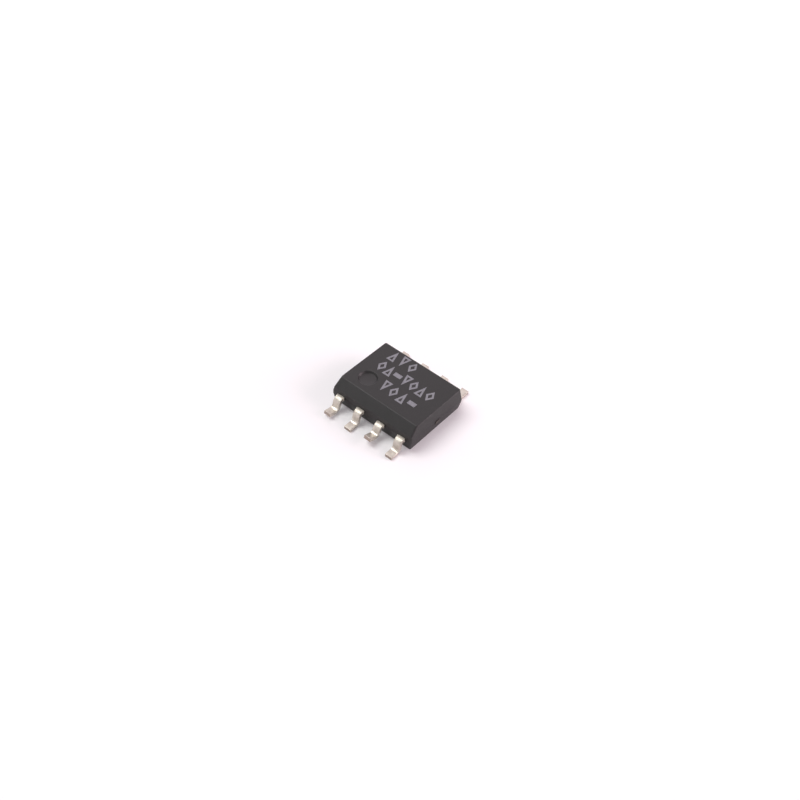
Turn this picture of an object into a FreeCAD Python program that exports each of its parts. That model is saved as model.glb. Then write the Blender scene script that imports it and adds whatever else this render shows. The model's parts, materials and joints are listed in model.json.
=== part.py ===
import FreeCAD, Part
import math
import os
import Sketcher
from FreeCAD import Placement, Rotation, Vector

# Eight-lead small-outline package. Millimetres and degrees.
# X runs along the row of leads, from the pin 1 end to the pin 4 end.
# Pins 1 to 4 come out towards -Y and pins 5 to 8 towards +Y. Z is up.
# The origin is under the middle of the body, on the plane that the feet stand on.

os.makedirs("parts", exist_ok=True)
doc = FreeCAD.newDocument("SmallOutlinePackage")
sheet = doc.addObject("Spreadsheet::Sheet", "Sizes")

SIZES = [
    # Moulded body
    ("BodyLength", 4.94, "length over the parting land"),
    ("BodyWidth", 3.87, "width over the parting land"),
    ("BodyTop", 1.42, "top face above the seating plane"),
    ("StandOff", 0.14, "underside above the seating plane"),
    ("TopDraft", 9.0, "draft of the upper half, degrees"),
    ("BottomDraft", 10.0, "draft of the lower half, degrees"),
    ("CornerCut", 0.06, "flat across each upright corner"),
    ("EdgeRadius", 0.03, "round on the rim of the top face"),
    ("BevelAcross", 0.48, "long bevel on the pin 1 side, in from the land"),
    ("BevelDrop", 0.41, "long bevel, down from the top face"),
    ("DimpleRadius", 0.49, "pin 1 dimple at the top face"),
    ("DimpleDepth", 0.11, "pin 1 dimple"),
    ("DimpleDraft", 30.0, "slope of the dimple's wall, degrees"),
    ("DimpleFromEnd", 1.11, "dimple centre from the pin 1 end"),
    ("DimpleFromFront", 1.285, "dimple centre from the front"),
    ("EjectorRadius", 0.40, "ejector marks on the underside"),
    ("EjectorDepth", 0.03, "ejector marks on the underside"),
    ("EjectorFromEnd", 1.30, "ejector mark centres from the ends"),
    # Leadframe
    ("LeadPitch", 1.27, "from lead to lead"),
    ("LeadWidth", 0.40, "width of a formed lead"),
    ("LeadThickness", 0.18, "thickness of the sheet"),
    ("LeadPlane", 0.68, "middle of the sheet above the seating plane"),
    ("LeadReach", 1.10, "from the body to the toe"),
    ("ShoulderFlat", 0.08, "flat stretch outside the body"),
    ("ShoulderBend", 0.20, "bend at the shoulder, to the middle of the sheet"),
    ("HeelBend", 0.24, "bend at the heel, to the middle of the sheet"),
    ("StubWidth", 0.47, "width over the sheared tie-bar stubs"),
    ("StubGap", 0.02, "from the body to the stubs"),
    ("FingerHead", 0.84, "width of a middle finger's head"),
    ("FingerDepth", 0.35, "depth of every finger's head"),
    ("CornerHeadLength", 0.60, "head of a corner finger, inwards from the lead's middle"),
    ("PaddleGap", 0.22, "from the paddle to the fingers"),
    ("PaddleLength", 2.40, "die paddle"),
    ("PaddleWidth", 1.90, "die paddle"),
    ("PaddleDrop", 0.20, "paddle below the lead plane"),
    ("TieWidth", 0.30, "tie bars at the paddle's ends"),
    ("TieFlat", 0.10, "flat stretch of a tie bar at the paddle"),
    ("TieRamp", 0.25, "length over which a tie bar climbs"),
    ("TieStub", 0.03, "sheared end of a tie bar, left standing out of the body"),
    # Chip and wires
    ("DieLength", 1.60, "silicon die"),
    ("DieWidth", 1.25, "silicon die"),
    ("DieThickness", 0.28, "silicon die"),
    ("AttachThickness", 0.02, "die attach layer"),
    ("AttachRim", 0.07, "die attach squeezed out round the die"),
    ("PadInset", 0.12, "bond pads from the die's edge"),
    ("PadSpacing", 0.56, "between the middle bond pads of a row"),
    ("WireDiameter", 0.04, "bond wire"),
    ("BallRadius", 0.045, "ball at the die end of a wire"),
    ("BallHeight", 0.03, "ball at the die end of a wire"),
    ("LoopRise", 0.11, "upright stretch of a wire"),
    ("LoopTurn", 0.04, "rise and run of the slanted stretch at the top of a wire"),
    ("StitchInset", 0.14, "wire's landing from the finger's tip"),
    ("CornerStitchInset", 0.16, "wire's landing from the end of a corner finger's head"),
]

# How each lead stands after handling: the leg's lean from upright, the foot's upward tilt,
# the heel's lift off the seating plane, and how far the toe reaches past the others.
LEAD_STANCE = {
    1: (14.0, 13.0, 0.07, -0.11),
    2: (9.0, 0.0, 0.00, -0.15),
    3: (22.0, 21.0, 0.20, -0.13),
    4: (8.0, 0.0, 0.00, -0.18),
    5: (8.0, 0.0, 0.00, 0.00),
    6: (8.0, 0.0, 0.00, 0.00),
    7: (8.0, 0.0, 0.00, 0.00),
    8: (8.0, 0.0, 0.00, 0.00),
}
STANCE_WORDS = ("Lean", "Tilt", "Lift", "Past")

for number, stance in LEAD_STANCE.items():
    for word, amount in zip(STANCE_WORDS, stance):
        SIZES.append((f"Lead{number}{word}", amount, f"stance of lead {number}"))

for row, (name, amount, meaning) in enumerate(SIZES, start=1):
    sheet.set(f"A{row}", name)
    sheet.set(f"B{row}", str(amount))
    sheet.set(f"C{row}", meaning)
    sheet.setAlias(f"B{row}", name)
doc.recompute()

# Levels and faces that several pieces share
LAND_TOP = "(Sizes.LeadPlane + Sizes.LeadThickness / 2)"
LAND_UNDERSIDE = "(Sizes.LeadPlane - Sizes.LeadThickness / 2)"
BODY_END = "(Sizes.BodyLength / 2)"
BODY_SIDE = "(Sizes.BodyWidth / 2)"
BEND_START = f"({BODY_SIDE} + Sizes.ShoulderFlat)"
FINGER_TIP = "(Sizes.PaddleWidth / 2 + Sizes.PaddleGap)"
FINGER_BACK = f"({FINGER_TIP} + Sizes.FingerDepth)"
PADDLE_END = "(Sizes.PaddleLength / 2)"
PADDLE_TOP = f"({LAND_TOP} - Sizes.PaddleDrop)"
PADDLE_UNDERSIDE = f"({LAND_UNDERSIDE} - Sizes.PaddleDrop)"
DIE_UNDERSIDE = f"({PADDLE_TOP} + Sizes.AttachThickness)"
DIE_TOP = f"({DIE_UNDERSIDE} + Sizes.DieThickness)"

# Points nearer than this count as on the same level
TOUCH = 1e-6


def value(expression):
    """The number that an expression gives with the sheet's present sizes."""
    result = sheet.evalExpression(expression)
    return float(getattr(result, "Value", result))


def add_body(label):
    body = doc.addObject("PartDesign::Body", label)
    body.Label = label
    return body


def origin_plane(body, role):
    return next(item for item in body.Origin.OriginFeatures if item.Role == role)


def add_sketch(body, name, role, lift="0"):
    """A sketch on one of the body's own origin planes, lifted along its normal."""
    sketch = body.newObject("Sketcher::SketchObject", name)
    sketch.AttachmentSupport = [(origin_plane(body, role), "")]
    sketch.MapMode = "FlatFace"
    sketch.setExpression("AttachmentOffset.Base.z", lift)
    return sketch


def dimension(sketch, kind, expression, *where):
    """A driving dimension of the sketch, bound to an expression of the sheet."""
    amount = value(expression)
    if kind == "Angle":
        amount = math.radians(amount)
    index = sketch.addConstraint(Sketcher.Constraint(kind, *where, amount))
    sketch.setExpression(f"Constraints[{index}]", expression)


def join(sketch, kind, first, first_end, second, second_end):
    sketch.addConstraint(Sketcher.Constraint(kind, first, first_end, second, second_end))


def place_point(sketch, geometry, end, across, up):
    """Dimension one end of a line or arc from the sketch's origin."""
    dimension(sketch, "DistanceX", across, -1, 1, geometry, end)
    dimension(sketch, "DistanceY", up, -1, 1, geometry, end)


def draw_outline(sketch, corners):
    """A closed outline of straight edges through corners given as pairs of expressions."""
    points = [Vector(value(across), value(up), 0) for across, up in corners]
    count = len(points)
    for index in range(count):
        sketch.addGeometry(Part.LineSegment(points[index], points[(index + 1) % count]))
    for index in range(count):
        join(sketch, "Coincident", index, 2, (index + 1) % count, 1)
    for index, (across, up) in enumerate(corners):
        place_point(sketch, index, 1, across, up)


def draw_rectangle(sketch, half_length, half_width):
    draw_outline(sketch, [
        (f"-{half_length}", f"-{half_width}"),
        (half_length, f"-{half_width}"),
        (half_length, half_width),
        (f"-{half_length}", half_width),
    ])


def draw_circle(sketch, across, up, radius):
    centre = Vector(value(across), value(up), 0)
    circle = sketch.addGeometry(Part.Circle(centre, Vector(0, 0, 1), value(radius)))
    place_point(sketch, circle, 3, across, up)
    dimension(sketch, "Radius", radius, circle)


def draw_arc(sketch, centre, radius, start, end):
    circle = Part.Circle(centre, Vector(0, 0, 1), radius)
    return sketch.addGeometry(Part.ArcOfCircle(circle, start, end))


def add_pad(body, name, sketch, length, both_ways=False):
    pad = body.newObject("PartDesign::Pad", name)
    pad.Profile = sketch
    pad.setExpression("Length", length)
    pad.Midplane = both_ways
    return pad


def add_pocket(body, name, sketch, depth, upwards=False):
    pocket = body.newObject("PartDesign::Pocket", name)
    pocket.Profile = sketch
    pocket.Reversed = upwards
    pocket.setExpression("Length", depth)
    return pocket


def add_pipe(body, name, section, spine):
    pipe = body.newObject("PartDesign::AdditivePipe", name)
    pipe.Profile = (section, [""])
    pipe.Spine = (spine, [""])
    return pipe


def draw_land_outline(sketch):
    """The body's plan at the parting land, with its corners cut flat."""
    near_end = f"({BODY_END} - Sizes.CornerCut)"
    near_side = f"({BODY_SIDE} - Sizes.CornerCut)"
    draw_outline(sketch, [
        (f"-{near_end}", f"-{BODY_SIDE}"),
        (near_end, f"-{BODY_SIDE}"),
        (BODY_END, f"-{near_side}"),
        (BODY_END, near_side),
        (near_end, BODY_SIDE),
        (f"-{near_end}", BODY_SIDE),
        (f"-{BODY_END}", near_side),
        (f"-{BODY_END}", f"-{near_side}"),
    ])


def upright_faces(shape, low, high, on_corners):
    """The faces between two levels that still stand upright, on the corners or on the sides."""
    names = []
    for index, face in enumerate(shape.Faces, start=1):
        normal = face.normalAt(0, 0)
        on_level = face.BoundBox.ZMin > low - TOUCH and face.BoundBox.ZMax < high + TOUCH
        is_corner = min(abs(normal.x), abs(normal.y)) > TOUCH
        if on_level and abs(normal.z) < TOUCH and is_corner == on_corners:
            names.append(f"Face{index}")
    return names


def add_half(body, name, land_level, far_level, draft):
    """One half of the body, padded away from the land and drafted to leave its mould.

    The corner flats lean further than the sides, so that they keep their width.
    """
    downwards = value(far_level) < value(land_level)
    outline = add_sketch(body, f"{name}Outline", "XY_Plane", land_level)
    draw_land_outline(outline)
    feature = add_pad(body, name, outline, f"abs({far_level} - {land_level})")
    feature.Reversed = downwards
    feature.Refine = False
    parting = body.newObject("PartDesign::Plane", f"{name}Parting")
    parting.AttachmentSupport = [(origin_plane(body, "XY_Plane"), "")]
    parting.MapMode = "FlatFace"
    parting.setExpression("AttachmentOffset.Base.z", land_level)
    low, high = sorted((value(land_level), value(far_level)))

    corner_draft = f"atan(sqrt(2) * tan({draft}))"
    for part, angle in (("Corners", corner_draft), ("Sides", draft)):
        doc.recompute()
        drafted = body.newObject("PartDesign::Draft", f"{name}{part}")
        drafted.Base = (feature, upright_faces(feature.Shape, low, high, part == "Corners"))
        drafted.NeutralPlane = (parting, [""])
        drafted.setExpression("Angle", angle)
        drafted.Reversed = downwards
        drafted.Refine = False
        feature = drafted


def make_mould_block():
    """The moulded body before the pieces that it is cast round are taken out of it."""
    body = add_body("mould_block")

    land = add_sketch(body, "LandOutline", "XY_Plane", LAND_UNDERSIDE)
    draw_land_outline(land)
    add_pad(body, "PartingLand", land, "Sizes.LeadThickness")
    add_half(body, "UpperHalf", LAND_TOP, "Sizes.BodyTop", "Sizes.TopDraft")
    add_half(body, "LowerHalf", LAND_UNDERSIDE, "Sizes.StandOff", "Sizes.BottomDraft")

    # The bevel's section: its own slope, then clear of the body outside it
    bevel_foot = f"({BODY_SIDE} - (Sizes.BodyTop - Sizes.BevelDrop - {LAND_TOP}) * tan(Sizes.TopDraft))"
    bevel_low = "(Sizes.BodyTop - Sizes.BevelDrop)"
    bevel_in = f"({BODY_SIDE} - Sizes.BevelAcross)"
    section = add_sketch(body, "BevelSection", "YZ_Plane")
    draw_outline(section, [
        (f"-{bevel_in}", "Sizes.BodyTop"),
        (f"-{bevel_foot}", bevel_low),
        (f"-({BODY_SIDE} + Sizes.BevelAcross)", bevel_low),
        (f"-({BODY_SIDE} + Sizes.BevelAcross)", "Sizes.BodyTop + Sizes.BevelDrop"),
        (f"-{bevel_in}", "Sizes.BodyTop + Sizes.BevelDrop"),
    ])
    bevel = add_pocket(body, "Bevel", section, "2 * Sizes.BodyLength")
    bevel.Midplane = True
    doc.recompute()

    top = value("Sizes.BodyTop")
    rim = [
        f"Edge{index}"
        for index, edge in enumerate(bevel.Shape.Edges, start=1)
        if all(abs(vertex.Z - top) < TOUCH for vertex in edge.Vertexes)
    ]
    soft_rim = body.newObject("PartDesign::Fillet", "SoftRim")
    soft_rim.Base = (bevel, rim)
    soft_rim.setExpression("Radius", "Sizes.EdgeRadius")

    # Half of the dimple's section, turned about the upright axis through its centre
    floor = "(Sizes.BodyTop - Sizes.DimpleDepth)"
    mouth = "(Sizes.BodyTop + Sizes.DimpleDepth)"
    floor_radius = "(Sizes.DimpleRadius - Sizes.DimpleDepth * tan(Sizes.DimpleDraft))"
    bowl = add_sketch(body, "DimpleSection", "XZ_Plane", f"{BODY_SIDE} - Sizes.DimpleFromFront")
    bowl.setExpression("AttachmentOffset.Base.x", f"-({BODY_END} - Sizes.DimpleFromEnd)")
    draw_outline(bowl, [
        ("0", floor),
        (floor_radius, floor),
        ("Sizes.DimpleRadius", "Sizes.BodyTop"),
        ("Sizes.DimpleRadius", mouth),
        ("0", mouth),
    ])
    dimple = body.newObject("PartDesign::Groove", "Dimple")
    dimple.Profile = bowl
    dimple.ReferenceAxis = (bowl, ["V_Axis"])
    dimple.Angle = 360

    marks = add_sketch(body, "EjectorOutlines", "XY_Plane", "Sizes.StandOff")
    for side in ("-", ""):
        draw_circle(marks, f"{side}({BODY_END} - Sizes.EjectorFromEnd)", "0", "Sizes.EjectorRadius")
    add_pocket(body, "EjectorMarks", marks, "Sizes.EjectorDepth", upwards=True)
    return body


def draw_finger(sketch, towards_middle):
    """Plan of a lead inside the body and out to its first bend.

    towards_middle is 0 for a middle lead, whose head is a T, and 1 or -1 for a corner
    lead, whose head turns that way to come alongside its neighbour.
    """
    half = "(Sizes.LeadWidth / 2)"
    stub = "(Sizes.StubWidth / 2)"
    stub_start = f"({BODY_SIDE} + Sizes.StubGap)"
    if towards_middle == 0:
        left, right = "-(Sizes.FingerHead / 2)", "(Sizes.FingerHead / 2)"
    elif towards_middle > 0:
        left, right = f"-{half}", "Sizes.CornerHeadLength"
    else:
        left, right = "-Sizes.CornerHeadLength", half
    corners = [
        (f"-{stub}", BEND_START),
        (f"-{stub}", stub_start),
        (f"-{half}", stub_start),
    ]
    if towards_middle <= 0:
        corners.append((f"-{half}", FINGER_BACK))
        corners.append((left, FINGER_BACK))
    corners.append((left, FINGER_TIP))
    corners.append((right, FINGER_TIP))
    if towards_middle >= 0:
        corners.append((right, FINGER_BACK))
        corners.append((half, FINGER_BACK))
    corners += [
        (half, stub_start),
        (stub, stub_start),
        (stub, BEND_START),
    ]
    draw_outline(sketch, corners)


def draw_lead_path(sketch, number):
    """Side view of the sheet's middle, from the first bend to the toe."""
    lean, tilt, lift, past = (f"Sizes.Lead{number}{word}" for word in STANCE_WORDS)
    shoulder_bend = value("Sizes.ShoulderBend")
    heel_bend = value("Sizes.HeelBend")
    heel_level = f"({lift} + Sizes.LeadThickness / 2 + Sizes.HeelBend)"
    toe_out = f"({BODY_SIDE} + Sizes.LeadReach + {past})"

    # Where the bends and the toe start out, before the dimensions take hold
    lean_now = math.radians(value(lean))
    tilt_now = math.radians(value(tilt))
    shoulder = Vector(value(BEND_START), value("Sizes.LeadPlane") - shoulder_bend, 0)
    outward = Vector(math.cos(lean_now), math.sin(lean_now), 0)
    leg_top = shoulder + outward * shoulder_bend
    heel_up = value(heel_level)
    leg_drop = leg_top.y - (heel_up - outward.y * heel_bend)
    leg_foot = leg_top + Vector(math.tan(lean_now), -1, 0) * leg_drop
    heel = leg_foot + outward * heel_bend
    foot_start = heel + Vector(math.sin(tilt_now), -math.cos(tilt_now), 0) * heel_bend
    foot_run = value(toe_out) - foot_start.x
    toe = foot_start + Vector(1, math.tan(tilt_now), 0) * foot_run

    upper_bend = draw_arc(sketch, shoulder, shoulder_bend, lean_now, math.pi / 2)
    leg = sketch.addGeometry(Part.LineSegment(leg_top, leg_foot))
    lower_bend = draw_arc(sketch, heel, heel_bend, math.pi + lean_now, 1.5 * math.pi + tilt_now)
    foot = sketch.addGeometry(Part.LineSegment(foot_start, toe))

    join(sketch, "Tangent", upper_bend, 1, leg, 1)
    join(sketch, "Tangent", leg, 2, lower_bend, 1)
    join(sketch, "Tangent", lower_bend, 2, foot, 1)
    join(sketch, "Vertical", upper_bend, 2, upper_bend, 3)
    place_point(sketch, upper_bend, 2, BEND_START, "Sizes.LeadPlane")
    dimension(sketch, "Radius", "Sizes.ShoulderBend", upper_bend)
    dimension(sketch, "Radius", "Sizes.HeelBend", lower_bend)
    dimension(sketch, "Angle", f"{lean} - 90", leg)
    dimension(sketch, "Angle", tilt, foot)
    dimension(sketch, "DistanceY", heel_level, -1, 1, lower_bend, 3)
    dimension(sketch, "DistanceX", toe_out, -1, 1, foot, 2)


def lead_side(number):
    """-1 for pins 1 to 4, 1 for pins 5 to 8."""
    return -1 if number <= 4 else 1


def lead_steps(number):
    """How many pitches the lead stands from the body's middle, along X."""
    return number - 2.5 if number <= 4 else 6.5 - number


def make_lead(number):
    body = add_body(f"lead_{number}")
    side = lead_side(number)
    steps = lead_steps(number)
    is_corner = abs(steps) > 1
    # The lead is drawn pointing to +Y, and the front row is turned half round
    towards_middle = 0
    if is_corner:
        towards_middle = -1 if steps * side > 0 else 1

    plan = add_sketch(body, "FingerOutline", "XY_Plane", LAND_UNDERSIDE)
    draw_finger(plan, towards_middle)
    add_pad(body, "Finger", plan, "Sizes.LeadThickness")

    path = add_sketch(body, "LegPath", "YZ_Plane")
    draw_lead_path(path, number)
    section = add_sketch(body, "LegSection", "XZ_Plane", f"-{BEND_START}")
    draw_outline(section, [
        ("-Sizes.LeadWidth / 2", LAND_UNDERSIDE),
        ("Sizes.LeadWidth / 2", LAND_UNDERSIDE),
        ("Sizes.LeadWidth / 2", LAND_TOP),
        ("-Sizes.LeadWidth / 2", LAND_TOP),
    ])
    add_pipe(body, "FormedLeg", section, path)

    body.Placement = Placement(Vector(), Rotation(Vector(0, 0, 1), 0 if side > 0 else 180))
    body.setExpression("Placement.Base.x", f"{steps} * Sizes.LeadPitch")
    return body


def make_paddle():
    """The paddle that carries the die, hung from a tie bar at each end of the body."""
    body = add_body("die_pad")
    plan = add_sketch(body, "PaddleOutline", "XY_Plane", PADDLE_UNDERSIDE)
    draw_rectangle(plan, PADDLE_END, "(Sizes.PaddleWidth / 2)")
    add_pad(body, "Paddle", plan, "Sizes.LeadThickness")

    ramp_foot = f"({PADDLE_END} + Sizes.TieFlat)"
    ramp_head = f"({ramp_foot} + Sizes.TieRamp)"
    tie_end = f"({BODY_END} + Sizes.TieStub)"
    strip = add_sketch(body, "TieSideView", "XZ_Plane")
    draw_outline(strip, [
        (PADDLE_END, PADDLE_UNDERSIDE),
        (ramp_foot, PADDLE_UNDERSIDE),
        (ramp_head, LAND_UNDERSIDE),
        (tie_end, LAND_UNDERSIDE),
        (tie_end, LAND_TOP),
        (ramp_head, LAND_TOP),
        (ramp_foot, PADDLE_TOP),
        (PADDLE_END, PADDLE_TOP),
    ])
    tie = add_pad(body, "TieBar", strip, "Sizes.TieWidth", both_ways=True)
    doc.recompute()
    other_tie = body.newObject("PartDesign::Mirrored", "OtherTieBar")
    other_tie.Originals = [tie]
    other_tie.MirrorPlane = (origin_plane(body, "YZ_Plane"), [""])
    body.Tip = other_tie
    return body


def make_slab(label, length, width, height, level):
    """A flat rectangular piece centred over the origin."""
    slab = doc.addObject("Part::Box", label)
    slab.Label = label
    slab.setExpression("Length", length)
    slab.setExpression("Width", width)
    slab.setExpression("Height", height)
    slab.setExpression("Placement.Base.x", f"-({length}) / 2")
    slab.setExpression("Placement.Base.y", f"-({width}) / 2")
    slab.setExpression("Placement.Base.z", level)
    return slab


def make_bond_wire(number):
    """A wire from its ball on the die, over a low loop, to its stitch on the finger."""
    body = add_body(f"bond_wire_{number}")
    side = lead_side(number)
    steps = lead_steps(number)
    is_corner = abs(steps) > 1
    hand = 1 if steps > 0 else -1

    pad_out = "(Sizes.DieWidth / 2 - Sizes.PadInset)"
    pad_along = "(Sizes.DieLength / 2 - Sizes.PadInset)" if is_corner else "(Sizes.PadSpacing / 2)"
    land_out = f"({FINGER_TIP} + Sizes.StitchInset)"
    land_along = f"({abs(steps)} * Sizes.LeadPitch)"
    if is_corner:
        land_along = f"({land_along} - Sizes.CornerHeadLength + Sizes.CornerStitchInset)"
    run_along = f"({land_along} - {pad_along})"
    run_out = f"({land_out} - {pad_out})"
    span = f"sqrt({run_along} ^ 2 + {run_out} ^ 2)"
    landing = f"({LAND_TOP} - {DIE_TOP})"

    ball_plan = add_sketch(body, "BallOutline", "XY_Plane")
    draw_circle(ball_plan, "0", "0", "Sizes.BallRadius")
    add_pad(body, "Ball", ball_plan, "Sizes.BallHeight")

    # The path runs on a little into the finger, and the trim leaves it flush on top
    path = add_sketch(body, "LoopPath", "XZ_Plane")
    turns = [
        ("0", "0"),
        ("0", "Sizes.LoopRise"),
        ("Sizes.LoopTurn", "Sizes.LoopRise + Sizes.LoopTurn"),
        (span, f"{landing} - Sizes.WireDiameter"),
    ]
    points = [Vector(value(across), value(up), 0) for across, up in turns]
    for start, end in zip(points, points[1:]):
        path.addGeometry(Part.LineSegment(start, end))
    join(path, "Coincident", 0, 2, 1, 1)
    join(path, "Coincident", 1, 2, 2, 1)
    place_point(path, 0, 1, *turns[0])
    for index in range(3):
        place_point(path, index, 2, *turns[index + 1])

    section = add_sketch(body, "WireSection", "XY_Plane")
    draw_circle(section, "0", "0", "Sizes.WireDiameter / 2")
    loop = add_pipe(body, "Loop", section, path)
    loop.Transition = "Right corner"

    trim = add_sketch(body, "StitchTrim", "XY_Plane", landing)
    draw_outline(trim, [
        (f"{span} / 2", "-4 * Sizes.WireDiameter"),
        (f"{span} + 4 * Sizes.WireDiameter", "-4 * Sizes.WireDiameter"),
        (f"{span} + 4 * Sizes.WireDiameter", "4 * Sizes.WireDiameter"),
        (f"{span} / 2", "4 * Sizes.WireDiameter"),
    ])
    add_pocket(body, "Stitch", trim, "4 * Sizes.WireDiameter")

    body.Placement = Placement(Vector(), Rotation(Vector(0, 0, 1), 1))
    body.setExpression("Placement.Base.x", f"{hand} * {pad_along}")
    body.setExpression("Placement.Base.y", f"{side} * {pad_out}")
    body.setExpression("Placement.Base.z", DIE_TOP)
    body.setExpression("Placement.Rotation.Angle", f"atan2({side} * {run_out}; {hand} * {run_along})")
    return body


mould_block = make_mould_block()
leads = [make_lead(number) for number in LEAD_STANCE]
die_pad = make_paddle()
die_attach = make_slab(
    "die_attach",
    "Sizes.DieLength + 2 * Sizes.AttachRim",
    "Sizes.DieWidth + 2 * Sizes.AttachRim",
    "Sizes.AttachThickness",
    PADDLE_TOP,
)
die = make_slab("die", "Sizes.DieLength", "Sizes.DieWidth", "Sizes.DieThickness", DIE_UNDERSIDE)
bond_wires = [make_bond_wire(number) for number in LEAD_STANCE]

# The moulding takes the shape of everything that it is cast round
inside = [*leads, die_pad, die_attach, die, *bond_wires]
cast_round = doc.addObject("Part::MultiFuse", "CastRound")
cast_round.Shapes = inside
cast_round.Refine = False
package_body = doc.addObject("Part::Cut", "package_body")
package_body.Label = "package_body"
package_body.Base = mould_block
package_body.Tool = cast_round
doc.recompute()

for item in doc.Objects:
    if "Invalid" in item.State or "Error" in item.State:
        raise RuntimeError(f"{item.Label} failed to build: {item.State}")

pieces = [package_body, *inside]
for piece in pieces:
    if piece.Shape.isNull() or not piece.Shape.isValid():
        raise RuntimeError(f"{piece.Label} has no valid shape")
    if len(piece.Shape.Solids) != 1:
        raise RuntimeError(f"{piece.Label} is {len(piece.Shape.Solids)} solids, not one")

for piece in pieces:
    piece.Shape.exportStep(f"parts/{piece.Label}.step")
    print(f"{piece.Label}: {piece.Shape.Volume:.4f} mm3")
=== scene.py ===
import json
import math

import bmesh
import bpy
from mathutils import Matrix, Vector


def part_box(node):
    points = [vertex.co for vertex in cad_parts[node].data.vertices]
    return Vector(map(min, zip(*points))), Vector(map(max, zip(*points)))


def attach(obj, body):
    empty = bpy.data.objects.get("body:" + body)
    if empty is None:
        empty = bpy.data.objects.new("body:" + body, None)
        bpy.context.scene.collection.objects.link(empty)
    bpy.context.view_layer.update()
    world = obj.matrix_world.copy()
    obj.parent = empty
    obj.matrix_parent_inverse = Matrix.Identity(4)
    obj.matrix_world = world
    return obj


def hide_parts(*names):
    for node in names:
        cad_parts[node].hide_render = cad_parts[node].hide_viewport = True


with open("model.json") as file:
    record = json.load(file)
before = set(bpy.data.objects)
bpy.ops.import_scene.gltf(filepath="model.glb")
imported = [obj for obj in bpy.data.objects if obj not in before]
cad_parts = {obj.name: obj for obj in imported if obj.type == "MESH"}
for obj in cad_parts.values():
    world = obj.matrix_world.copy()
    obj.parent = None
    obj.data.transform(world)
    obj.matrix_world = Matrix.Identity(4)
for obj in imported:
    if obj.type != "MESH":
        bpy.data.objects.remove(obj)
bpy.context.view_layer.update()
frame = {"nodes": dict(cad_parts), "record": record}
mm = 0.001
touch = 0.001 * mm                  # two levels closer than this count as one
cutSlack = 0.0001 * mm              # a vertex this close to a cutting plane lies on it
weldGap = 0.0005 * mm               # vertices closer than this are joined
facing = 0.9                        # a normal with more than this along an axis looks that way
noiseLow, noiseHigh = 0.30, 0.70    # nearly all of a noise texture lies between these
mixShare, mixFrom, mixTo, mixed = 0, 6, 7, 2    # sockets of a Mix node for colours, the last an output
print("frame loaded:", len(frame["nodes"]), "nodes")


# Small helpers that every piece uses

def toLinear(hexColour):
    # sRGB hex, as a colour picker gives it, to the linear values that the sockets want
    channels = [int(hexColour[i:i + 2], 16) / 255 for i in (1, 3, 5)]
    linear = [c / 12.92 if c <= 0.04045 else ((c + 0.055) / 1.055) ** 2.4 for c in channels]
    return (*linear, 1.0)


def addNode(tree, kind, settings=None, links=None):
    # one node, its settings by property, socket name or socket number, and what feeds its sockets
    node = tree.nodes.new(kind)
    for name, setting in (settings or {}).items():
        if isinstance(name, int) or name in node.inputs:
            node.inputs[name].default_value = setting
        else:
            setattr(node, name, setting)
    for name, source in (links or {}).items():
        tree.links.new(source, node.inputs[name])
    return node


def newMaterial(name):
    material = bpy.data.materials.new(name)
    material.use_nodes = True
    tree = material.node_tree
    tree.nodes.clear()
    place = addNode(tree, "ShaderNodeTexCoord").outputs["Object"]
    return material, tree, place


def finishMaterial(tree, shader):
    addNode(tree, "ShaderNodeOutputMaterial", links={"Surface": shader.outputs[0]})


def newPiece(name, bm, materials):
    # a finished bmesh becomes an object at the origin
    bmesh.ops.remove_doubles(bm, verts=bm.verts, dist=weldGap)
    bmesh.ops.recalc_face_normals(bm, faces=bm.faces)
    mesh = bpy.data.meshes.new(name)
    bm.to_mesh(mesh)
    bm.free()
    for material in materials:
        mesh.materials.append(material)
    piece = bpy.data.objects.new(name, mesh)
    bpy.context.scene.collection.objects.link(piece)
    return piece


def facesWhere(bm, test):
    return [face for face in bm.faces if test(face.calc_center_median(), face.normal)]


def vertsOf(geometry):
    return [item for item in geometry if isinstance(item, bmesh.types.BMVert)]


# Materials

# Epoxy moulding compound, moulded in a spark-eroded steel mould. The eroded steel leaves a matt, pebbled
# skin that scatters light, so the charcoal looks greyer where the light grazes it. Pins and rubbing
# leave it smoother.
epoxyLook = {
    "colour": "#191717",
    "paleColour": "#262324",
    "grainMm": 0.045,       # pebbles left by the eroded mould, drawn coarser than the real 0.01 mm
    "grainHeightMm": 0.006,
    "fillerMm": 0.016,      # silica filler just under the skin, which shows as pale specks
    "fillerColour": "#403C3E",
    "fillerSpan": (0.60, 0.74),     # noise at which a speck begins and is full
    "fillerShare": 0.45,
    "mottleMm": 0.9,        # slow flow marks in the compound
    "mottleSpan": (0.35, 0.70),
    "mottleShare": 0.5,
    "glossSwing": 0.05,     # either side of each skin's own roughness
}


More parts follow.
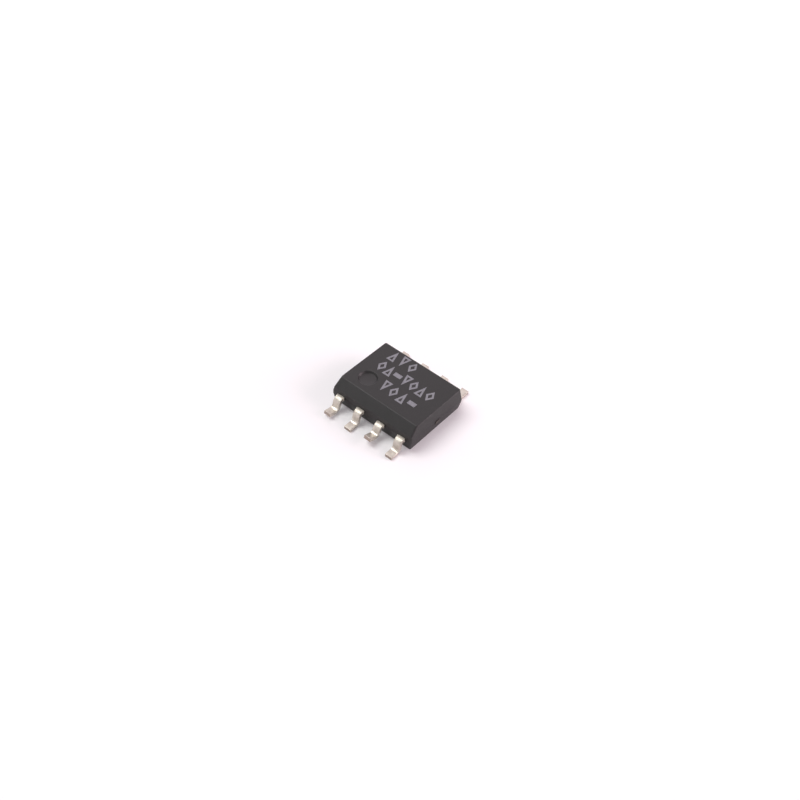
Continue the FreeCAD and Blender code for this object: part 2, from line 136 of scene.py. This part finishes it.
def makeEpoxy(name, look, grainShare, roughness, paleShare):
    material, tree, place = newMaterial(name)
    grain = addNode(tree, "ShaderNodeTexNoise",
                    {"Scale": 1 / (look["grainMm"] * mm), "Detail": 3.0, "Roughness": 0.6},
                    {"Vector": place})
    filler = addNode(tree, "ShaderNodeTexNoise",
                     {"Scale": 1 / (look["fillerMm"] * mm), "Detail": 1.0}, {"Vector": place})
    mottle = addNode(tree, "ShaderNodeTexNoise",
                     {"Scale": 1 / (look["mottleMm"] * mm), "Detail": 5.0, "Roughness": 0.55},
                     {"Vector": place})
    tone = addNode(tree, "ShaderNodeMapRange",
                   {"From Min": look["mottleSpan"][0], "From Max": look["mottleSpan"][1],
                    "To Min": paleShare, "To Max": paleShare + look["mottleShare"]},
                   {"Value": mottle.outputs["Fac"]})
    compound = addNode(tree, "ShaderNodeMix",
                       {"data_type": "RGBA", mixFrom: toLinear(look["colour"]),
                        mixTo: toLinear(look["paleColour"])}, {mixShare: tone.outputs[0]})
    speck = addNode(tree, "ShaderNodeMapRange",
                    {"From Min": look["fillerSpan"][0], "From Max": look["fillerSpan"][1],
                     "To Max": look["fillerShare"]},
                    {"Value": filler.outputs["Fac"]})
    colour = addNode(tree, "ShaderNodeMix", {"data_type": "RGBA", mixTo: toLinear(look["fillerColour"])},
                     {mixShare: speck.outputs[0], mixFrom: compound.outputs[mixed]})
    gloss = addNode(tree, "ShaderNodeMapRange",
                    {"From Min": noiseLow, "From Max": noiseHigh,
                     "To Min": roughness - look["glossSwing"], "To Max": roughness + look["glossSwing"]},
                    {"Value": mottle.outputs["Fac"]})
    bump = addNode(tree, "ShaderNodeBump",
                   {"Strength": grainShare, "Distance": look["grainHeightMm"] * mm},
                   {"Height": grain.outputs["Fac"]})
    shader = addNode(tree, "ShaderNodeBsdfPrincipled", {"IOR": 1.5},
                     {"Base Color": colour.outputs[mixed], "Roughness": gloss.outputs[0],
                      "Normal": bump.outputs[0]})
    finishMaterial(tree, shader)
    return material


# Matt tin, electroplated on copper strip before forming. Its fine crystals scatter part of the light,
# which gives a satin, slightly warm silver. The forming tool slides along the strip and polishes it
# in the heel bend, which makes it smoother there. The paler tin colour in that bend is a painted
# highlight, the bright band that light makes in the heel.
tinLook = {
    "colour": "#D0C9BF",
    "dullColour": "#BCB3A9",
    "metallic": 0.80,       # the rest stands for light that the crystals scatter
    "roughness": 0.42,
    # paler tin in the heel bend: a painted highlight
    "paintedHighlightColour": "#E2DCD2",
    "rubbedRoughness": 0.31,
    "relief": 0.5,
    "rubbedRelief": 0.12,   # the tool presses the crystals nearly flat
    "crystalMm": 0.02,      # plated crystals, drawn coarser than the real 0.004 mm
    "tarnishMm": 0.25,
    "tarnishSpan": (0.42, 0.70),
    "rubAcrossMm": 0.012,   # tool marks, fine across the strip and long along it
    "rubAlongMm": 0.4,
    "rubPolishes": 0.05,    # how far a tool mark takes the roughness down and up
    "rubRoughens": 0.10,
    "reliefMm": 0.0008,
}


def makeTin(name, look, tint, roughness, relief):
    material, tree, place = newMaterial(name)
    crystals = addNode(tree, "ShaderNodeTexVoronoi", {"Scale": 1 / (look["crystalMm"] * mm)},
                       {"Vector": place})
    tarnish = addNode(tree, "ShaderNodeTexNoise",
                      {"Scale": 1 / (look["tarnishMm"] * mm), "Detail": 4.0}, {"Vector": place})
    across, along = 1 / (look["rubAcrossMm"] * mm), 1 / (look["rubAlongMm"] * mm)
    drawnOut = addNode(tree, "ShaderNodeMapping", {"Scale": (across, along, along)}, {"Vector": place})
    rub = addNode(tree, "ShaderNodeTexNoise", {"Scale": 1.0, "Detail": 2.0},
                  {"Vector": drawnOut.outputs[0]})
    dull = addNode(tree, "ShaderNodeMapRange",
                   {"From Min": look["tarnishSpan"][0], "From Max": look["tarnishSpan"][1]},
                   {"Value": tarnish.outputs["Fac"]})
    colour = addNode(tree, "ShaderNodeMix",
                     {"data_type": "RGBA", mixFrom: toLinear(tint), mixTo: toLinear(look["dullColour"])},
                     {mixShare: dull.outputs[0]})
    gloss = addNode(tree, "ShaderNodeMapRange",
                    {"From Min": noiseLow, "From Max": noiseHigh,
                     "To Min": roughness - look["rubPolishes"], "To Max": roughness + look["rubRoughens"]},
                    {"Value": rub.outputs["Fac"]})
    height = addNode(tree, "ShaderNodeMath", {"operation": "ADD"},
                     {0: crystals.outputs["Distance"], 1: rub.outputs["Fac"]})
    bump = addNode(tree, "ShaderNodeBump", {"Strength": relief, "Distance": look["reliefMm"] * mm},
                   {"Height": height.outputs[0]})
    shader = addNode(tree, "ShaderNodeBsdfPrincipled", {"Metallic": look["metallic"]},
                     {"Base Color": colour.outputs[mixed], "Roughness": gloss.outputs[0],
                      "Normal": bump.outputs[0]})
    finishMaterial(tree, shader)
    return material


# The other metals: sheared or bare copper strip, silver-filled glue, silicon and gold wire. They differ
# in colour and in how they were cut or drawn, and so in gloss and in the size of their marks. Shearing
# drags the marks out along the punch's way, which is up and down.

markDepthShare = 0.1        # of a mark's width


def makeMetal(name, colour, darkColour, roughness, markMm, metallic=1.0, markHeightMm=None):
    material, tree, place = newMaterial(name)
    across = 1 / (markMm * mm)
    upright = 1 / ((markHeightMm or markMm) * mm)
    drawnOut = addNode(tree, "ShaderNodeMapping", {"Scale": (across, across, upright)}, {"Vector": place})
    marks = addNode(tree, "ShaderNodeTexNoise", {"Scale": 1.0, "Detail": 4.0},
                    {"Vector": drawnOut.outputs[0]})
    share = addNode(tree, "ShaderNodeMapRange", {"From Min": noiseLow, "From Max": noiseHigh},
                    {"Value": marks.outputs["Fac"]})
    tint = addNode(tree, "ShaderNodeMix",
                   {"data_type": "RGBA", mixFrom: toLinear(colour), mixTo: toLinear(darkColour)},
                   {mixShare: share.outputs[0]})
    bump = addNode(tree, "ShaderNodeBump", {"Strength": 0.3, "Distance": markDepthShare * markMm * mm},
                   {"Height": marks.outputs["Fac"]})
    shader = addNode(tree, "ShaderNodeBsdfPrincipled", {"Metallic": metallic, "Roughness": roughness},
                     {"Base Color": tint.outputs[mixed], "Normal": bump.outputs[0]})
    finishMaterial(tree, shader)
    return material


# Stamped ink, a thin pale grey film. It covers the pebbled skin unevenly, so the body shows through
# in small gaps.
inkLook = {
    "colour": "#84838A",
    "thinColour": "#55545A",
    "gapMm": 0.045,
    "gapSpan": (0.55, 0.70),
    "filmMm": 0.002,
    "roughness": 0.6,
}


def makeInk(look):
    material, tree, place = newMaterial("stampedInk")
    cover = addNode(tree, "ShaderNodeTexNoise", {"Scale": 1 / (look["gapMm"] * mm), "Detail": 3.0},
                    {"Vector": place})
    share = addNode(tree, "ShaderNodeMapRange",
                    {"From Min": look["gapSpan"][0], "From Max": look["gapSpan"][1]},
                    {"Value": cover.outputs["Fac"]})
    colour = addNode(tree, "ShaderNodeMix",
                     {"data_type": "RGBA", mixFrom: toLinear(look["colour"]),
                      mixTo: toLinear(look["thinColour"])}, {mixShare: share.outputs[0]})
    bump = addNode(tree, "ShaderNodeBump", {"Strength": 0.3, "Distance": look["filmMm"] * mm},
                   {"Height": cover.outputs["Fac"]})
    shader = addNode(tree, "ShaderNodeBsdfPrincipled", {"Roughness": look["roughness"]},
                     {"Base Color": colour.outputs[mixed], "Normal": bump.outputs[0]})
    finishMaterial(tree, shader)
    return material


mouldedEpoxy = makeEpoxy("mouldedEpoxy", epoxyLook, grainShare=0.6, roughness=0.50, paleShare=0.0)
pinnedEpoxy = makeEpoxy("epoxyAgainstPolishedPin", epoxyLook, grainShare=0.12, roughness=0.36,
                        paleShare=0.1)
rubbedEpoxy = makeEpoxy("epoxyRubbedAlongEdges", epoxyLook, grainShare=0.25, roughness=0.40,
                        paleShare=0.45)
platedTin = makeTin("electroplatedMattTin", tinLook, tinLook["colour"], tinLook["roughness"],
                    tinLook["relief"])
# the heel's paler colour is a painted highlight, and its lower roughness and flatter crystals are the
# tool's polish
rubbedTinWithPaintedHighlight = makeTin("tinRubbedWithPaintedHighlight", tinLook, tinLook["paintedHighlightColour"],
                    tinLook["rubbedRoughness"], tinLook["rubbedRelief"])
shearedCopper = makeMetal("shearedCopperStrip", "#B5A79D", "#8D8178", roughness=0.42, markMm=0.016,
                          markHeightMm=0.16)
bareCopper = makeMetal("tarnishedCopperStrip", "#6B6561", "#4F4A47", roughness=0.5, markMm=0.05)
silverGlue = makeMetal("silverFilledGlue", "#A9A7A2", "#8B8984", roughness=0.55, markMm=0.03, metallic=0.4)
polishedSilicon = makeMetal("polishedSilicon", "#4C4F5C", "#3E414E", roughness=0.12, markMm=0.2,
                            metallic=0.6)
drawnGold = makeMetal("drawnGoldWire", "#E3B65A", "#D2A348", roughness=0.2, markMm=0.01)
stampedInk = makeInk(inkLook)
print("materials made")


# Levels that the body and the leads share, read from the frame's own boxes

stripThickness = 0.18 * mm      # the leadframe sheet
bodyLow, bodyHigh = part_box("package_body")
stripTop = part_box("lead_1")[1].z
stripMiddle = stripTop - stripThickness / 2


# Moulded body

bodyShape = {
    "topDraft": math.radians(9),
    "bottomDraft": math.radians(10),
    "bevelAcross": 0.48 * mm,       # long bevel, in from the land and down from the top
    "bevelDrop": 0.41 * mm,
    "cornerRadius": 0.07 * mm,
    "cornerSteps": 4,
    "cornerAngle": math.radians(60),    # upright edges sharper than this are corners
    "uprightRise": 0.1 * mm,            # and an edge that climbs this much is upright
    "edgeRadius": 0.035 * mm,
    "edgeSteps": 3,
    "edgeAngle": math.radians(25),
    "roundSteps": 96,
    "dimpleAt": (-1.36 * mm, -0.65 * mm),
    "dimpleRadius": 0.49 * mm,
    "dimpleDepth": 0.11 * mm,
    "dimpleFloorRadius": 0.4265 * mm,
    "markAt": 1.17 * mm,            # ejector marks on the underside, each side of the middle
    "markRadius": 0.40 * mm,
    "markDepth": 0.03 * mm,
}


def makeRoundCutter(name, at, level, radius, farRadius, depth, steps):
    # a cone frustum that reaches from depth inside the surface to as far outside it
    bm = bmesh.new()
    bmesh.ops.create_cone(bm, cap_ends=True, segments=steps, radius1=farRadius, radius2=radius,
                          depth=abs(depth))
    if depth < 0:
        bmesh.ops.scale(bm, vec=(1, 1, -1), verts=bm.verts)
    bmesh.ops.translate(bm, vec=(*at, level - depth / 2), verts=bm.verts)
    mouth = facesWhere(bm, lambda middle, normal: abs(middle.z - level) < touch)
    lip = bmesh.ops.extrude_face_region(bm, geom=mouth)["geom"]
    bmesh.ops.translate(bm, vec=(0, 0, depth), verts=vertsOf(lip))
    bmesh.ops.delete(bm, geom=[f for f in mouth if f.is_valid], context="FACES")
    return newPiece(name, bm, [])


def makeBody(shape):
    length = bodyHigh.x - bodyLow.x
    width = bodyHigh.y - bodyLow.y
    landLow = stripTop - stripThickness     # the upright band that the two mould halves meet on
    bm = bmesh.new()
    bmesh.ops.create_cube(bm, size=1)
    bmesh.ops.scale(bm, vec=(length, width, stripThickness), verts=bm.verts)
    bmesh.ops.translate(bm, vec=(0, 0, stripMiddle), verts=bm.verts)

    # each half is drawn out of the land and drafted
    for landLevel, farLevel, draft in ((stripTop, bodyHigh.z, shape["topDraft"]),
                                       (landLow, bodyLow.z, shape["bottomDraft"])):
        start = facesWhere(bm, lambda middle, normal: abs(middle.z - landLevel) < touch)
        drawn = vertsOf(bmesh.ops.extrude_face_region(bm, geom=start)["geom"])
        bmesh.ops.delete(bm, geom=[f for f in start if f.is_valid], context="FACES")
        bmesh.ops.translate(bm, vec=(0, 0, farLevel - landLevel), verts=drawn)
        inset = abs(farLevel - landLevel) * math.tan(draft)
        bmesh.ops.scale(bm, vec=(1 - 2 * inset / length, 1 - 2 * inset / width, 1), verts=drawn)

    # the long bevel is one flat cut along the pin 1 side
    bevelFoot = width / 2 - (bodyHigh.z - shape["bevelDrop"] - stripTop) * math.tan(shape["topDraft"])
    bevelHead = width / 2 - shape["bevelAcross"]
    bevelFacing = Vector((0, -shape["bevelDrop"], bevelFoot - bevelHead)).normalized()
    cut = bmesh.ops.bisect_plane(
        bm, geom=bm.verts[:] + bm.edges[:] + bm.faces[:], dist=cutSlack,
        plane_co=(0, -bevelHead, bodyHigh.z), plane_no=bevelFacing, clear_outer=True)
    rim = [e for e in cut["geom_cut"] if isinstance(e, bmesh.types.BMEdge)]
    bmesh.ops.contextual_create(bm, geom=rim)
    bmesh.ops.recalc_face_normals(bm, faces=bm.faces)

    # upright corners are rounded, then the dimple and the pin marks are sunk
    upright = [
        e for e in bm.edges
        if abs(e.verts[0].co.z - e.verts[1].co.z) > shape["uprightRise"]
        and e.calc_face_angle(0) > shape["cornerAngle"]
    ]
    bmesh.ops.bevel(bm, geom=upright, offset=shape["cornerRadius"], segments=shape["cornerSteps"],
                    profile=0.5, affect="EDGES", material=-1)
    skins = [mouldedEpoxy, pinnedEpoxy, rubbedEpoxy]
    body = newPiece("moulded_body", bm, skins)
    cutters = [makeRoundCutter("dimpleCutter", shape["dimpleAt"], bodyHigh.z, shape["dimpleRadius"],
                               shape["dimpleFloorRadius"], shape["dimpleDepth"], shape["roundSteps"])]
    for side in (-1, 1):
        cutters.append(makeRoundCutter(f"pinCutter{side}", (side * shape["markAt"], 0), bodyLow.z,
                                       shape["markRadius"], shape["markRadius"], -shape["markDepth"],
                                       shape["roundSteps"]))
    for cutter in cutters:
        sink = body.modifiers.new(cutter.name, "BOOLEAN")
        sink.object = cutter
        sink.operation = "DIFFERENCE"
        sink.solver = "EXACT"
    soften = body.modifiers.new("softEdges", "BEVEL")
    soften.width = shape["edgeRadius"]
    soften.segments = shape["edgeSteps"]
    soften.angle_limit = shape["edgeAngle"]
    soften.material = skins.index(rubbedEpoxy)
    bpy.context.view_layer.update()
    evaluated = body.evaluated_get(bpy.context.evaluated_depsgraph_get())
    finished = bpy.data.meshes.new_from_object(evaluated)
    body.modifiers.clear()
    body.data = finished
    for cutter in cutters:
        bpy.data.objects.remove(cutter)

    # floors of the dimple and pin marks were moulded against polished steel
    for polygon in body.data.polygons:
        level, up = polygon.center.z, polygon.normal.z
        inDimple = abs(level - (bodyHigh.z - shape["dimpleDepth"])) < 2 * touch and up > facing
        inMark = abs(level - (bodyLow.z + shape["markDepth"])) < 2 * touch and up < -facing
        if inDimple or inMark:
            polygon.material_index = skins.index(pinnedEpoxy)
    body.data.shade_smooth()
    even = body.modifiers.new("evenShading", "WEIGHTED_NORMAL")
    even.keep_sharp = True
    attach(body, "root")
    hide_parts("package_body")


makeBody(bodyShape)
print("body moulded")


# Formed leads. Each is one strip of leadframe: its finger inside the body, the shoulder with its two
# sheared tie-bar stubs, and the gull wing, bent with the stance that the part's own feet show.

leadShape = {
    "width": 0.40 * mm,
    "stubWidth": 0.47 * mm,
    "stubGap": 0.02 * mm,           # between the body's side and the stubs
    "shoulder": 0.08 * mm,          # straight run out of the body
    "shoulderBend": 0.20 * mm,
    "heelBend": 0.24 * mm,
    "bendSteps": 14,
    "fingerTip": 1.17 * mm,         # from the package's middle line
    "fingerDepth": 0.35 * mm,
    "headOverhang": 0.22 * mm,      # each side of a middle finger's T head
    "cornerHead": 0.60 * mm,        # a corner finger's head, from the lead's middle
    "edgeRadius": 0.018 * mm,       # stamped edges, softened by the plating
    "edgeSteps": 3,
    "edgeAngle": math.radians(50),
    "leans": {1: 14, 2: 9, 3: 22},  # the leg's lean from upright, degrees
    "usualLean": 8,                 # of lead 4 and the rear row
}


def pushOut(bm, test, distance):
    # a stretch of the strip's side is drawn outwards, as the stamping left it wider
    start = facesWhere(bm, test)
    normal = start[0].normal.copy()
    drawn = vertsOf(bmesh.ops.extrude_face_region(bm, geom=start)["geom"])
    bmesh.ops.delete(bm, geom=[f for f in start if f.is_valid], context="FACES")
    bmesh.ops.translate(bm, vec=normal * distance, verts=drawn)


def sweepFace(bm, face, centre, angle, steps):
    # bends the strip on from its end face, about an axis along X, and returns the new end
    swept = bmesh.ops.spin(bm, geom=[face, *face.edges, *face.verts], cent=centre, axis=(1, 0, 0),
                           angle=angle, steps=steps, use_merge=False, use_duplicate=False)
    if face.is_valid:
        bmesh.ops.delete(bm, geom=[face], context="FACES_ONLY")
    return next(f for f in swept["geom_last"] if isinstance(f, bmesh.types.BMFace))


def runFace(bm, face, along):
    # draws the strip straight on from its end face
    drawn = bmesh.ops.extrude_face_region(bm, geom=[face])["geom"]
    if face.is_valid:
        bmesh.ops.delete(bm, geom=[face], context="FACES_ONLY")
    bmesh.ops.translate(bm, vec=along, verts=vertsOf(drawn))
    return next(f for f in drawn if isinstance(f, bmesh.types.BMFace))


def makeFinger(bm, number, shape, bendStart):
    # the flat strip, then its head inside the body and the stubs at the shoulder drawn out of its sides
    half = shape["width"] / 2
    bmesh.ops.create_cube(bm, size=1)
    bmesh.ops.scale(bm, vec=(shape["width"], bendStart - shape["fingerTip"], stripThickness),
                    verts=bm.verts)
    bmesh.ops.translate(bm, vec=(0, (bendStart + shape["fingerTip"]) / 2, stripMiddle), verts=bm.verts)
    fingerBack = shape["fingerTip"] + shape["fingerDepth"]
    stubStart = bodyHigh.y + shape["stubGap"]
    for level in (fingerBack, stubStart):
        bmesh.ops.bisect_plane(bm, geom=bm.verts[:] + bm.edges[:] + bm.faces[:], dist=cutSlack,
                               plane_co=(0, level, 0), plane_no=(0, 1, 0))
    inward = -1 if number in (1, 5) else 1      # a corner finger's head turns to the package's middle
    for hand in (-1, 1):
        if number not in (1, 4, 5, 8):
            overhang = shape["headOverhang"]
        elif hand == -inward:
            overhang = 0
        else:
            overhang = shape["cornerHead"] - half
        if overhang:
            pushOut(bm, lambda middle, normal: (middle.x * hand > half - touch
                                                and middle.y < fingerBack), overhang)
        pushOut(bm, lambda middle, normal: (abs(middle.x * hand - half) < touch
                                            and middle.y > stubStart),
                (shape["stubWidth"] - shape["width"]) / 2)


def makeLead(number, shape):
    foot = next(m for m in frame["record"]["mounts"] if m["name"] == f"foot_{number}")
    low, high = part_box(f"lead_{number}")
    side = 1 if foot["pos_m"][1] > 0 else -1
    tilt = math.atan2(abs(foot["axis"][1]), abs(foot["axis"][2]))
    lean = math.radians(shape["leans"].get(number, shape["usualLean"]))
    bendStart = bodyHigh.y + shape["shoulder"]
    toeMiddle = max(abs(low.y), abs(high.y)) - math.sin(tilt) * stripThickness / 2

    # drawn pointing to +Y and about x = 0; the front row is turned half round at the end
    bm = bmesh.new()
    makeFinger(bm, number, shape, bendStart)
    outward = Vector((0, math.cos(lean), math.sin(lean)))
    shoulderCentre = Vector((0, bendStart, stripMiddle - shape["shoulderBend"]))
    legTop = shoulderCentre + outward * shape["shoulderBend"]
    heelOut = outward * shape["heelBend"]
    heelLevel = low.z + stripThickness / 2 + shape["heelBend"]
    legRun = Vector((0, math.tan(lean), -1)) * (legTop.z - heelLevel + heelOut.z)
    heelCentre = legTop + legRun + heelOut
    footStart = heelCentre.y + math.sin(tilt) * shape["heelBend"]

    end = facesWhere(bm, lambda middle, normal: normal.y > facing and middle.y > bendStart - touch
                     and abs(middle.x) < touch)[0]
    end = sweepFace(bm, end, shoulderCentre, -(math.pi / 2 - lean), shape["bendSteps"])
    end = runFace(bm, end, legRun)
    end = sweepFace(bm, end, heelCentre, math.pi / 2 - lean + tilt, shape["bendSteps"])
    runFace(bm, end, Vector((0, 1, math.tan(tilt))) * (toeMiddle - footStart))
    bmesh.ops.recalc_face_normals(bm, faces=bm.faces)

    # the toe and the stubs were sheared after plating, and the forming tool rubbed the heel, whose paler
    # tin is a painted highlight
    finishes = [platedTin, shearedCopper, rubbedTinWithPaintedHighlight]
    sheared = facesWhere(bm, lambda middle, normal: (middle.y > toeMiddle - touch and normal.y > facing)
                         or (abs(middle.x) > shape["width"] / 2 + touch and abs(normal.x) > facing
                             and middle.y > bodyHigh.y))
    for face in sheared:
        face.material_index = finishes.index(shearedCopper)
    heelTop = (legTop + legRun).z
    for face in facesWhere(bm, lambda middle, normal: middle.z < heelTop and middle.y < footStart):
        face.material_index = finishes.index(rubbedTinWithPaintedHighlight)
    if side < 0:
        bmesh.ops.rotate(bm, cent=(0, 0, 0), matrix=Matrix.Rotation(math.pi, 3, "Z"), verts=bm.verts)
    bmesh.ops.translate(bm, vec=(foot["pos_m"][0], 0, 0), verts=bm.verts)
    lead = newPiece(f"formed_lead_{number}", bm, finishes)
    soften = lead.modifiers.new("softEdges", "BEVEL")
    soften.width = shape["edgeRadius"]
    soften.segments = shape["edgeSteps"]
    soften.angle_limit = shape["edgeAngle"]
    soften.material = finishes.index(platedTin)
    lead.data.shade_smooth()
    even = lead.modifiers.new("evenShading", "WEIGHTED_NORMAL")
    even.keep_sharp = True
    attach(lead, "root")
    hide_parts(f"lead_{number}")


for number in range(1, 9):
    makeLead(number, leadShape)
print("leads formed")


# Sealed pieces keep their CAD shapes, and only the ends of the die pad's tie bars come to the surface.
# The other nodes, of the body and the leads, are hidden, as the pieces above replace them.

sealedFinish = {
    "die_pad": bareCopper,
    "die_attach": silverGlue,
    "die": polishedSilicon,
    "bond_wire": drawnGold,
}

for name, node in frame["nodes"].items():
    kind = name.rstrip("_0123456789")
    node.data.materials.clear()
    node.data.materials.append(sealedFinish.get(kind, mouldedEpoxy))
print("inner pieces finished")


# Stamped marking: three rows of plain outlined shapes, in no alphabet

marking = {
    "stroke": 0.098 * mm,
    "height": 0.74 * mm,
    "width": 0.44 * mm,
    "thickness": 0.004 * mm,
    "lift": 0.0005 * mm,            # clear of the skin, so that the two never share a plane
    # each shape by its number of sides, its turn, its share of the height, and whether it is filled
    "shapes": {
        "diamond": (4, 0, 1.0, False),
        "peak": (3, 0, 1.0, False),
        "valley": (3, math.pi, 1.0, False),
        "block": (4, math.pi / 4, 0.34, True),
    },
    # of each row, x of its first shape, y, pitch and its shapes
    "rows": [
        (-1.41 * mm, 1.36 * mm, 0.585 * mm, ("peak", "valley", "diamond")),
        (-1.41 * mm, 0.45 * mm, 0.50 * mm,
         ("diamond", "peak", "block", "valley", "diamond", "peak", "diamond")),
        (-0.41 * mm, -0.51 * mm, 0.56 * mm, ("valley", "diamond", "peak", "block")),
    ],
}


def makeMarking(plan):
    bm = bmesh.new()
    for left, middle, pitch, shapes in plan["rows"]:
        for step, shape in enumerate(shapes):
            sides, turn, share, filled = plan["shapes"][shape]
            made = bmesh.ops.create_circle(bm, cap_ends=True, segments=sides, radius=0.5)["verts"]
            bmesh.ops.rotate(bm, cent=(0, 0, 0), matrix=Matrix.Rotation(turn, 3, "Z"), verts=made)
            wide = max(v.co.x for v in made) - min(v.co.x for v in made)
            bottom, top = min(v.co.y for v in made), max(v.co.y for v in made)
            bmesh.ops.translate(bm, vec=(0, -(bottom + top) / 2, 0), verts=made)
            bmesh.ops.scale(bm, vec=(plan["width"] / wide, share * plan["height"] / (top - bottom), 1),
                            verts=made)
            bmesh.ops.translate(bm, vec=(left + step * pitch, middle, bodyHigh.z + plan["lift"]),
                                verts=made)
            if not filled:
                face = made[0].link_faces[0]
                bmesh.ops.inset_region(bm, faces=[face], thickness=plan["stroke"], use_boundary=True,
                                       use_even_offset=True)
                bmesh.ops.delete(bm, geom=[face], context="FACES")
    drawn = bmesh.ops.extrude_face_region(bm, geom=bm.faces[:])["geom"]
    bmesh.ops.translate(bm, vec=(0, 0, plan["thickness"]), verts=vertsOf(drawn))
    piece = newPiece("stamped_marking", bm, [stampedInk])
    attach(piece, "root")


makeMarking(marking)
print("marking stamped")


# Pale table, soft studio light and the camera

stage = {
    "floorColour": "#FCFAFC",
    "floorSize": 0.6,
    "floorDrop": 0.001 * mm,        # so that the floor never shares a plane with the feet
    "whiteColour": "#FFFCFF",
    "whiteShare": 0.16,             # how much of the floor is seen as plain white, without its shadows
    "skyColour": "#FFF1F8",
    "horizonLevel": 0.78,           # the light of the pale wall round the table, which is seen as white
    "ceilingLevel": 0.10,
    "wallTop": 0.38,                # sines of the heights at which the wall ends and the ceiling begins
    "ceilingStart": 0.68,
    # each lamp's size and place in metres, watts and colour
    "lamps": [
        ("overheadSoftbox", 0.20, (-0.126, -0.066, 0.264), 0.60, "#FCFFFC"),
        ("windowSoftbox", 0.24, (-0.126, 0.180, 0.234), 0.21, "#FFF3FA"),
        ("sideSoftbox", 0.20, (0.220, 0.150, 0.090), 0.68, "#FFE8F1"),
    ],
}


def seenDirectly(tree):
    # 1 for what the camera, a glossy surface or a clear one sees, and 0 for light that falls on a surface
    rays = addNode(tree, "ShaderNodeLightPath").outputs
    seen = addNode(tree, "ShaderNodeMath", {"operation": "ADD"},
                   {0: rays["Is Camera Ray"], 1: rays["Is Glossy Ray"]})
    seen = addNode(tree, "ShaderNodeMath", {"operation": "ADD", "use_clamp": True},
                   {0: seen.outputs[0], 1: rays["Is Transmission Ray"]})
    return seen.outputs[0]


def makeStage(plan):
    bm = bmesh.new()
    bmesh.ops.create_grid(bm, x_segments=1, y_segments=1, size=plan["floorSize"] / 2)
    bmesh.ops.translate(bm, vec=(0, 0, -plan["floorDrop"]), verts=bm.verts)
    material, tree, _ = newMaterial("paleTable")
    paper = addNode(tree, "ShaderNodeBsdfDiffuse", {"Color": toLinear(plan["floorColour"])})
    glow = addNode(tree, "ShaderNodeEmission", {"Color": toLinear(plan["whiteColour"]), "Strength": 1.0})
    share = addNode(tree, "ShaderNodeMath", {"operation": "MULTIPLY", 1: plan["whiteShare"]},
                    {0: seenDirectly(tree)})
    table = addNode(tree, "ShaderNodeMixShader",
                    links={0: share.outputs[0], 1: paper.outputs[0], 2: glow.outputs[0]})
    finishMaterial(tree, table)
    floor = newPiece("floor", bm, [material])

    world = bpy.data.worlds.new("studio")
    bpy.context.scene.world = world
    world.use_nodes = True
    tree = world.node_tree
    tree.nodes.clear()
    direction = addNode(tree, "ShaderNodeTexCoord").outputs["Generated"]
    height = addNode(tree, "ShaderNodeSeparateXYZ", links={"Vector": direction})
    seen = seenDirectly(tree)
    wall = addNode(tree, "ShaderNodeMapRange", {"To Min": plan["horizonLevel"], "To Max": 1.0},
                   {"Value": seen})
    level = addNode(tree, "ShaderNodeMapRange",
                    {"interpolation_type": "SMOOTHSTEP", "From Min": plan["wallTop"],
                     "From Max": plan["ceilingStart"], "To Max": plan["ceilingLevel"]},
                    {"Value": height.outputs["Z"], "To Min": wall.outputs[0]})
    colour = addNode(tree, "ShaderNodeMix",
                     {"data_type": "RGBA", mixFrom: toLinear(plan["skyColour"]),
                      mixTo: toLinear(plan["whiteColour"])}, {mixShare: seen})
    sky = addNode(tree, "ShaderNodeBackground",
                  links={"Color": colour.outputs[mixed], "Strength": level.outputs[0]})
    addNode(tree, "ShaderNodeOutputWorld", links={"Surface": sky.outputs[0]})

    for name, size, place, power, colour in plan["lamps"]:
        light = bpy.data.lights.new(name, "AREA")
        light.size = size
        light.energy = power
        light.color = toLinear(colour)[:3]
        lamp = bpy.data.objects.new(name, light)
        lamp.location = place
        lamp.rotation_euler = (-Vector(place)).to_track_quat("-Z", "Y").to_euler()
        bpy.context.scene.collection.objects.link(lamp)


makeStage(stage)

# the camera stands where the photo's camera stood
view = {
    "from": (18.990 * mm, -25.258 * mm, 33.534 * mm),
    "forward": (-0.41212, 0.55336, -0.72385),
    "roll": math.radians(4.94),
    "focalPixels": 942.05,
    "imagePixels": 800,
    "sensor": 36.0,
    "near": 1 * mm,
    "far": 2.0,
}
camera = bpy.data.objects.new("camera", bpy.data.cameras.new("camera"))
camera.data.sensor_width = view["sensor"]
camera.data.lens = view["focalPixels"] / view["imagePixels"] * view["sensor"]
camera.data.clip_start = view["near"]
camera.data.clip_end = view["far"]
camera.location = view["from"]
aim = Vector(view["forward"]).to_track_quat("-Z", "Y").to_matrix()
camera.rotation_euler = (aim @ Matrix.Rotation(view["roll"], 3, "Z")).to_euler()
bpy.context.scene.collection.objects.link(camera)
bpy.context.scene.camera = camera
bpy.context.scene.view_settings.view_transform = "Standard"
print("stage, lamps and camera set")
